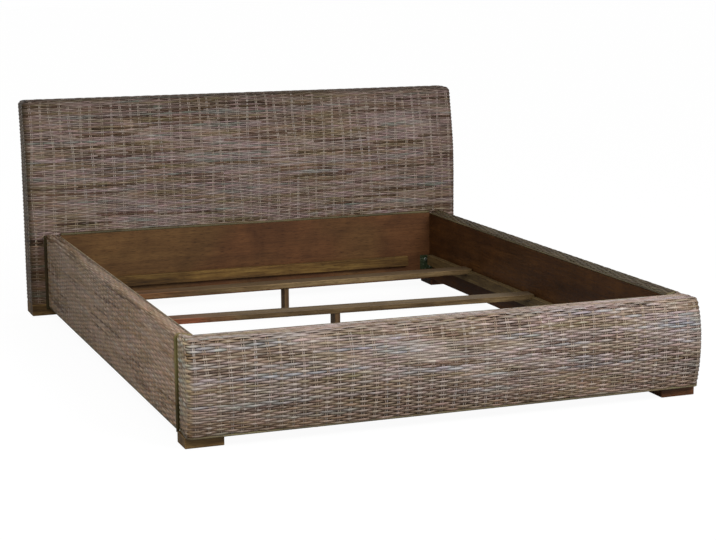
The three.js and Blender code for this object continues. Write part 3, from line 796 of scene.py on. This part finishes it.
# %% Footboard top rows
top_front = float(swell(np.array(CROWN_TOP))) + FOOT_EDGE
top_back = FOOT_BACK - CROWN_START
top_rows = np.linspace(top_front - 0.004, top_back, 16)
top_rows = (top_rows[1:] + top_rows[:-1]) / 2
top_half = (FOOT_HALF - FOOT_EDGE - drawn_in(top_rows, top_front + 0.008)) / FOOT_PITCH
weave_rows("footboard_top_rows", footboard_top, top_rows, centre - top_half, centre + top_half,
           FOOT_PITCH, foot, 40, 2.0)

# %% Footboard stakes and backing
wall_stakes = np.arange(first, last) + 0.5
top_stakes = np.arange(FOOT_COUNTS[0]) + 0.5
set_stakes("footboard_stakes", footboard_surface, wall_stakes, WEAVE_BOTTOM, wall_top, 16, foot,
           FOOT_PITCH)
set_stakes("footboard_top_stakes", footboard_top, top_stakes, top_front, top_back, 6, foot,
           FOOT_PITCH)
back_up("footboard_backing", footboard_surface, first, last, WEAVE_BOTTOM, wall_top, 216, 24, foot)
back_up("footboard_top_backing", footboard_top, 0.6, FOOT_COUNTS[0] - 0.6, top_front - 0.004,
        top_back, 92, 8, foot)

# %% [markdown]
# A rail's weave goes up its outer face, over a rounded edge and across its top to the trim beside
# the mattress. The walk follows that bent section, and its rows run the length of the rail. The
# left rail is the same surface with its sides changed, walked the other way so that out stays out.
# The rows on top run a little further than the wall's, up to the headboard.

# %% Rail surfaces
RAIL_OUTER = 0.866
RAIL_EDGE_RADIUS = 0.015
RAIL_DIVE = 0.0013
head_panel = HEAD_FRONT - 0.0003
RAIL_START = FOOT_BACK + 0.0083
RAIL_END = head_panel - 0.008 - 0.010
RAIL_STAKES = 48
RAIL_PITCH = (RAIL_END - RAIL_START) / RAIL_STAKES
edge_centre = RAIL_OUTER - RAIL_EDGE_RADIUS
crown_inner = INNER_HALF_WIDTH + CROWN_START
rail_shoulder = float(crown(np.array(edge_centre - crown_inner))) - RAIL_EDGE_RADIUS
edge_length = RAIL_EDGE_RADIUS * math.pi / 2
rail_top = rail_shoulder + edge_length + edge_centre - crown_inner


def rail_surface(sign):
    def surface(along, height):
        angle = np.clip((height - rail_shoulder) / RAIL_EDGE_RADIUS, 0, np.pi / 2)
        beyond = np.maximum(0, height - rail_shoulder - edge_length)
        x = edge_centre + RAIL_EDGE_RADIUS * np.cos(angle) - beyond
        wall = np.minimum(height, rail_shoulder) + RAIL_EDGE_RADIUS * np.sin(angle)
        z = np.where(beyond > 0, crown(np.maximum(0, x - crown_inner)), wall)
        y = RAIL_START + (along if sign > 0 else RAIL_STAKES - along) * RAIL_PITCH
        return np.stack([sign * x, y, z], axis=1)
    return surface


print("a rail is", round(RAIL_END - RAIL_START, 3), "m long, with stakes every",
      round(RAIL_PITCH * 1000, 1), "mm")

# %% Rail rows, stakes and backing
rail_rows = np.linspace(WEAVE_BOTTOM, rail_top, 47)
rail_rows = (rail_rows[1:] + rail_rows[:-1]) / 2
GAP_AT_HEAD = 0.017
no_further = np.zeros(len(rail_rows))
further = np.where(rail_rows > rail_shoulder + 0.004, GAP_AT_HEAD / RAIL_PITCH, 0)
rail_weaves = (("left", -1, 3.0, left_rattan, pale_stakes),
               ("right", 1, 5.0, right_rattan, shaded_stakes))
for side, sign, seed, finish, stake_finish in rail_weaves:
    surface = rail_surface(sign)
    woven = [f"{side}_rail_weave"]
    row_start = -further if sign < 0 else no_further
    row_end = RAIL_STAKES + (further if sign > 0 else no_further)
    weave_rows(f"{side}_rail_rows", surface, rail_rows, row_start, row_end, RAIL_PITCH,
               woven, 0, seed, RAIL_DIVE, finish, calm=rail_shoulder)
    set_stakes(f"{side}_rail_stakes", surface, np.arange(RAIL_STAKES) + 0.5, WEAVE_BOTTOM, rail_top,
               20, woven, RAIL_PITCH, RAIL_DIVE, stake_finish)
    back_up(f"{side}_rail_backing", surface, row_start.min(), row_end.max(), WEAVE_BOTTOM, rail_top,
            40, 24, woven)

# %% [markdown]
# Round canes finish every edge of the weave: along the tops of the inner boards, under the woven
# faces and down the ends of the rails. They are the same straight bundle again, laid along a line
# on a surface, with the slight swellings that a cane has at its joints.

# %% Laying a cane
CANE = 0.0035
JOINT_EVERY = 0.29
JOINT_LENGTH = 0.0045
# Canes are painted with the light and shade of a strand that has dived this deep.
CANE_PAINTED_DEPTH = 0.12
NEXT_CANE = 37


def lay_cane(name, surface, start, end, height, half_wide, half_deep, depth, steps, replaces, metres,
             upright=False, finish=None):
    global weave_number
    mesh, number, share, wide, thick = strand_bundle(1, steps, 8)
    walked = share * metres
    from_joint = (walked + 0.11 * weave_number) % JOINT_EVERY - 0.14
    joint = 1 + 0.10 * np.exp(-(from_joint / JOINT_LENGTH) ** 2)
    moving = start + (end - start) * share
    still = np.full(len(share), height)
    along, climb = (still, moving) if upright else (moving, still)
    here, outward, upward, across = directions(surface, along, climb)
    side = across if upright else upward
    points = here + outward * (depth + half_deep * thick * joint)[:, None]
    points += side * (half_wide * wide * joint)[:, None]
    strand = np.stack([walked, number + weave_number, wide], axis=1)
    hidden = np.full(len(share), CANE_PAINTED_DEPTH)
    weave_number += NEXT_CANE
    finish_piece(name, mesh, points, finish or cane, replaces, strand, hidden)


def line_surface(origin, ahead, above):
    origin, ahead, above = np.array(origin), np.array(ahead, float), np.array(above, float)
    return lambda along, height: origin + np.outer(along, ahead) + np.outer(height, above)


print("a cane is", CANE * 2000, "mm thick, with a joint every", JOINT_EVERY, "m")

# %% Canes of the end units
BOARD_TOP = 0.317
trim_z = BOARD_TOP + CANE
low_cane_z = 0.0375
foot_trim = line_surface((0, FOOT_BACK - CANE, trim_z), (1, 0, 0), (0, 0, 1))
head_trim = line_surface((0, head_panel - CANE, PANEL_TOP + CANE), (1, 0, 0), (0, 0, 1))
lay_cane("footboard_top_cane", foot_trim, -0.812, 0.812, 0, CANE, CANE, 0,
         240, ["footboard_top_trim"], 1.624)
# The headboard's cane is the darker olive one: painted shade under the overhanging weave.
lay_cane("headboard_cane", head_trim, -0.8047, 0.8047, 0, 0.0056, 0.0050, 0,
         240, ["headboard_trim"], 1.609, finish=olive_cane_painted_shade)
lay_cane("footboard_bottom_cane", footboard_surface, first - 0.12, last + 0.12, low_cane_z, CANE,
         0.005, -0.004, 360, ["footboard_bottom_trim"], 2.02)
# The right end's cane is the darker olive one, painted shade; the left end's keeps the joint colour.
for side, place, finish in (("left", first + 0.09, joint_cane), ("right", last - 0.09, olive_cane_painted_shade)):
    lay_cane(f"footboard_edge_cane_{side}", footboard_surface, WEAVE_BOTTOM, wall_top - 0.006,
             place, 0.0034, 0.0045, -0.0036, 60, foot, 0.30, upright=True, finish=finish)

# %% Canes of the rails
low_end = FRAME_BOTTOM - 0.006
foot_end = FOOT_BACK + 0.004
head_end = head_panel - 0.004 - 0.0035
# The left rail's top cane is the pale one, painted light; the right foot-end canes are the darker olive
# one, painted shade.
rail_canes = (("left", -1, pale_cane_painted_light, joint_cane), ("right", 1, cane, olive_cane_painted_shade))
for side, sign, top_finish, foot_finish in rail_canes:
    surface = rail_surface(sign)
    inner = line_surface((sign * (INNER_HALF_WIDTH + CANE), 0, trim_z), (0, sign, 0), (0, 0, 1))
    ends = sorted((sign * FOOT_BACK, sign * head_panel))
    lay_cane(f"{side}_rail_top_cane", inner, *ends, 0, 0.0024, 0.0020, 0,
             300, [f"{side}_rail_top_trim"], 2.018, finish=top_finish)
    lay_cane(f"{side}_rail_bottom_cane", surface, 0, RAIL_STAKES, low_cane_z, CANE, 0.005, -0.005,
             300, [f"{side}_rail_bottom_trim"], 1.99)
    # The head binding is the nearly black cane: painted shade in the corner by the headboard.
    bindings = (("foot", foot_end, rail_top, 0.0038, 0.0052, -0.0042, foot_finish),
                ("head", head_end, rail_shoulder + 0.008, 0.0062, 0.0078, 0.0006, dark_cane_painted_shade))
    for end, y, top, wide, deep, proud, finish in bindings:
        place = (y - RAIL_START) / RAIL_PITCH
        place = place if sign > 0 else RAIL_STAKES - place
        node = [f"{side}_rail_{end}_binding"]
        lay_cane(f"{side}_rail_{end}_cane", surface, low_end, top, place, wide, deep, proud,
                 90, node, 0.34, upright=True, finish=finish)
        # Each inner cane is a nearly black cane in the crevice beside the binding: painted shade.
        lay_cane(f"{side}_rail_{end}_inner_cane", surface, low_end, BOARD_TOP - 0.006, place,
                 0.0037, 0.0048, -0.0146, 60, node, 0.28, upright=True, finish=dark_cane_painted_shade)

# %% [markdown]
# The boards, slats, ledgers, legs and feet are stained hardwood. Grain is noise squeezed across the
# board and drawn out along it, in two sizes, with dark pores as a third. The stain is uneven, so a
# broad noise moves it between reddish and olive brown. Each piece needs its grain along its own
# length, so the finish is made once for each direction.

# %% Wood finish
LENGTHWISE = {"x": (1, 16, 16), "y": (16, 1, 16), "z": (16, 16, 1)}


def stained(tree, colour, stain, stain_share, drift, drift_from):
    place = object_place(tree)
    from_start = math_node(tree, "SUBTRACT", part_of(tree, place, "X"), drift_from)
    patch = scaled(tree, from_start, drift, noise(tree, place, 2.4, 2.0))
    patch = ramp(tree, patch, [(0.42, grey(0)), (0.62, grey(1))])
    share = scaled(tree, patch, stain_share)
    return blend(tree, share, colour, multiply(tree, colour, stain))


# Painted light and shade: faces that look up are blended towards a colour of their own.
def painted_top_light(tree, colour, blotch, painted_top_share, painted_top_colour):
    facing = add_node(tree, "NewGeometry").outputs["Normal"]
    facing_up = remap(tree, part_of(tree, facing, "Z"), 0.6, 1.0, painted_top_share)
    return blend(tree, scaled(tree, facing_up, blotch), colour, paint(*painted_top_colour))


def wood_finish(name, direction, dark, middle, pale, stain, stain_share=0.5, seed=0.0, drift=0.0,
                drift_from=0.0, painted_top_share=0.0, painted_top_colour=(122, 110, 98)):
    finish, tree, shader = new_finish(name)
    place = object_place(tree)
    inputs = {"Vector": place, "Location": (seed, seed, seed), "Scale": LENGTHWISE[direction]}
    turned = add_node(tree, "Mapping", inputs).outputs[0]
    broad = noise(tree, turned, 1.3, 5.0, 0.6)
    fine = noise(tree, turned, 9.0, 5.0)
    pores = noise(tree, turned, 34.0, 2.0)
    blotch = noise(tree, place, 7.0, 4.0, 0.8)
    grain = scaled(tree, fine, 0.45, scaled(tree, broad, 0.55))
    colour = ramp(tree, grain, palette((0.36, dark), (0.50, middle), (0.64, pale)))
    colour = multiply(tree, colour, ramp(tree, blotch, [
        (0.34, (0.80, 0.78, 0.76, 1)), (0.66, (1.16, 1.17, 1.16, 1))]))
    colour = stained(tree, colour, stain, stain_share, drift, drift_from)
    colour = multiply(tree, colour, ramp(tree, pores, [
        (0.36, (0.55, 0.52, 0.50, 1)), (0.44, grey(1))]))
    colour = painted_top_light(tree, colour, blotch, painted_top_share, painted_top_colour)
    edge = add_node(tree, "Attribute", attribute_name="edge").outputs["Fac"]
    worn = multiply(tree, colour, (1.55, 1.50, 1.42, 1))
    colour = blend(tree, scaled(tree, edge, fine), colour, worn)
    plug(tree, shader, {"Base Color": colour, "Specular IOR Level": 0.22})
    set_roughness(tree, shader, fine, (0.3, 0.45), (0.7, 0.65))
    set_bump(tree, shader, scaled(tree, pores, 0.5, fine), 0.0004, 0.5)
    return finish


# %% [markdown]
# The panels are reddish, the rail boards dark, and the slats have a stain that fades towards one side.
# On the slats and the side ledgers the faces that look up get a colour of their own, which is painted
# light and shade: greyer and paler on the middle and foot slats and the ledgers, darker on the head
# slat. Each wood takes three grain colours and the colour of its stain.

# %% The woods
OLIVE = (1.00, 1.16, 1.10, 1)
panel_wood = wood_finish("panel_wood", "x", (79, 49, 26), (91, 57, 31), (101, 66, 37),
                         (1.12, 1.40, 1.32, 1), 0.9, drift=-0.15)
rail_wood = wood_finish("rail_wood", "y", (51, 27, 7), (68, 39, 13), (85, 52, 20), OLIVE, 0.3)
hidden_wood = wood_finish("hidden_wood", "x", (46, 34, 22), (60, 46, 32), (74, 58, 42), OLIVE, 0.3)
ledger_wood_x = wood_finish("ledger_wood_across", "x", (60, 40, 18), (102, 74, 34),
                            (136, 108, 56), (0.62, 0.60, 0.56, 1), 0.7, 5.3, drift=0.10)
ledger_wood_y = wood_finish("ledger_wood_along", "y", (66, 50, 28), (96, 77, 46), (118, 98, 66),
                            OLIVE, 0.4, painted_top_share=0.6, painted_top_colour=(112, 94, 66))
slat_wood = wood_finish("slat_wood", "x", (75, 57, 34), (104, 84, 55), (131, 110, 76),
                        (1.30, 0.60, 0.60, 1), 0.9, 3.1, drift=-0.8, drift_from=-0.32, painted_top_share=1.0,
                        painted_top_colour=(106, 93, 75))
head_slat_wood = wood_finish("head_slat_wood", "x", (80, 61, 36), (108, 87, 57), (134, 112, 78),
                             (1.66, 0.94, 0.80, 1), 0.9, 3.1, drift=-0.8, drift_from=-0.46,
                             painted_top_share=1.2, painted_top_colour=(76, 61, 45))
leg_wood = wood_finish("leg_wood", "z", (64, 46, 28), (92, 68, 44), (112, 90, 60), OLIVE, 0.3)
foot_wood = wood_finish("foot_wood", "x", (64, 46, 22), (94, 71, 39), (124, 99, 58),
                        (0.72, 0.42, 0.44, 1), 0.9, 1.7, drift=0.22)
print("woods:", len([item for item in bpy.data.materials if "wood" in item.name]))

# %% [markdown]
# CAD solids have razor edges, and real boards don't. A copy of each solid is merged, its flat faces
# are joined again, and its edges are bevelled. The bevel's faces carry a mark, which the finish
# reads to wear the stain thin there.

# %% Easing the edges of boards and fittings
SAME_POINT = 0.00001
FLAT_ANGLE = math.radians(1)
SHARP_ANGLE = math.radians(35)


def ease_edges(node, finish, width):
    made = bmesh.new()
    made.from_mesh(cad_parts[node].data)
    bmesh.ops.remove_doubles(made, verts=made.verts[:], dist=SAME_POINT)
    bmesh.ops.dissolve_limit(made, angle_limit=FLAT_ANGLE, verts=made.verts[:], edges=made.edges[:])
    layer = made.faces.layers.float.new("edge")
    sharp = [edge for edge in made.edges
             if edge.is_manifold and edge.calc_face_angle() > SHARP_ANGLE]
    rounded = bmesh.ops.bevel(made, geom=sharp, offset=width, offset_type="OFFSET", affect="EDGES",
                              segments=2, profile=0.5, material=-1, clamp_overlap=True)["faces"]
    for face in rounded:
        face[layer] = 1.0
    mesh = new_mesh(node + "_eased", made)
    new_piece(node + "_eased", mesh, finish, [node])
    return len(mesh.polygons)


faces = 0
for end in ("head", "middle", "foot"):
    wood = head_slat_wood if end == "head" else slat_wood
    faces += ease_edges(f"cross_slat_{end}", wood, 0.0018)
    faces += ease_edges(f"slat_leg_{end}", leg_wood, 0.0015)
for side in ("left", "right"):
    faces += ease_edges(f"{side}_rail_ledger", ledger_wood_y, 0.0012)
    faces += ease_edges(f"{side}_rail_board", rail_wood, 0.0008)
    for end in ("foot", "head"):
        faces += ease_edges(f"{end}board_foot_{side}", foot_wood, 0.0022)
for end in ("head", "foot"):
    faces += ease_edges(f"{end}board_ledger", ledger_wood_x, 0.0015)
    faces += ease_edges(f"{end}board_inner_board", panel_wood, 0.0008)
print("eased faces:", faces)

# %% [markdown]
# The timbers inside the shells can't be seen, so they stay as they were drawn and only get a stain.

# %% Timbers that stay CAD
TIMBERS = ("batten", "former", "post", "headboard_bottom_rail", "headboard_middle_rail",
           "headboard_top_rail", "headboard_stud")
hidden = [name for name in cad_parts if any(timber in name for timber in TIMBERS)]
for name in hidden:
    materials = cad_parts[name].data.materials
    materials.clear()
    materials.append(hidden_wood)
print("hidden timbers:", len(hidden))

# %% [markdown]
# The brackets are pressed steel with a dark greenish plating, worn to bright metal in patches. The
# bolt heads are cleaner, so they catch the light.

# %% Steel finish and fittings
def steel_finish(name, plating, bare, bare_share):
    finish, tree, shader = new_finish(name)
    place = object_place(tree)
    scratch = noise(tree, place, 700.0, 3.0)
    shift = bare_share * 0.4
    worn = ramp(tree, noise(tree, place, 90.0, 5.0), [(0.60 - shift, grey(0)), (0.72 - shift, grey(1))])
    plug(tree, shader, {"Base Color": blend(tree, worn, plating, bare), "Metallic": 0.85})
    set_roughness(tree, shader, scratch, (0.3, 0.32), (0.7, 0.55))
    set_bump(tree, shader, scratch, 0.0001, 0.4)
    return finish


plated = steel_finish("plated_bracket", paint(78, 92, 64), paint(150, 160, 138), 0.1)
bright = steel_finish("bolt_steel", paint(136, 144, 130), paint(196, 198, 190), 0.5)
faces = 0
for end in ("head", "foot"):
    for side in ("left", "right"):
        faces += ease_edges(f"bracket_{end}_{side}", plated, 0.0005)
        for fitting in ("bolt", "screw"):
            faces += ease_edges(f"bracket_{fitting}_{end}_{side}", bright, 0.0006)
print("steel faces:", faces)

# %% [markdown]
# Floor, backdrop and light: a pale floor without an edge in sight, a bright even sky and two soft
# boxes, a wide one at the front left and a smaller, stronger one at the front right. Seen by the
# camera the floor is nearly its own light, so that it stays as white as the photograph's while it
# keeps a soft shadow.

# %% Floor
made = bmesh.new()
bmesh.ops.create_grid(made, x_segments=1, y_segments=1, size=40)
floor_mesh = new_mesh("floor", made)
floor = new_object("floor", floor_mesh)
floor_finish, tree, shader = new_finish("pale_floor")
plug(tree, shader, {"Base Color": grey(0.40), "Roughness": 0.9})
glow = add_node(tree, "Emission", {"Color": grey(1), "Strength": 1.15})
seen = add_node(tree, "LightPath").outputs["Is Camera Ray"]
share = scaled(tree, seen, 0.82)
mixed = add_node(tree, "MixShader", {0: share, 1: shader.outputs[0], 2: glow.outputs[0]})
plug(tree, tree.nodes["Material Output"], {"Surface": mixed.outputs[0]})
floor_mesh.materials.append(floor_finish)
print("floor:", floor.name, "with", floor_finish.name)

# %% World and lamps
world = bpy.data.worlds.new("studio")
bpy.context.scene.world = world
world.use_nodes = True
tree = world.node_tree
seen = add_node(tree, "LightPath").outputs["Is Camera Ray"]
plug(tree, tree.nodes["Background"], {"Color": grey(1), "Strength": scaled(tree, seen, 0.38, 0.62)})


def soft_box(name, place, turn, size, watts):
    lamp_data = bpy.data.lights.new(name, "AREA")
    lamp_data.shape = "RECTANGLE"
    lamp_data.size, lamp_data.size_y = size
    lamp_data.energy = watts
    lamp = new_object(name, lamp_data)
    lamp.location = place
    lamp.rotation_euler = [math.radians(angle) for angle in turn]
    print(name, "at", place, "with", watts, "W")


soft_box("left_soft_box", (-2.0, -4.4, 4.2), (48, 0, -22), (4.0, 3.0), 88)
soft_box("right_soft_box", (2.0, -4.8, 3.4), (52, 0, 22), (2.4, 1.8), 185)
bpy.context.scene.view_settings.view_transform = "Standard"

bpy.context.view_layer.update()
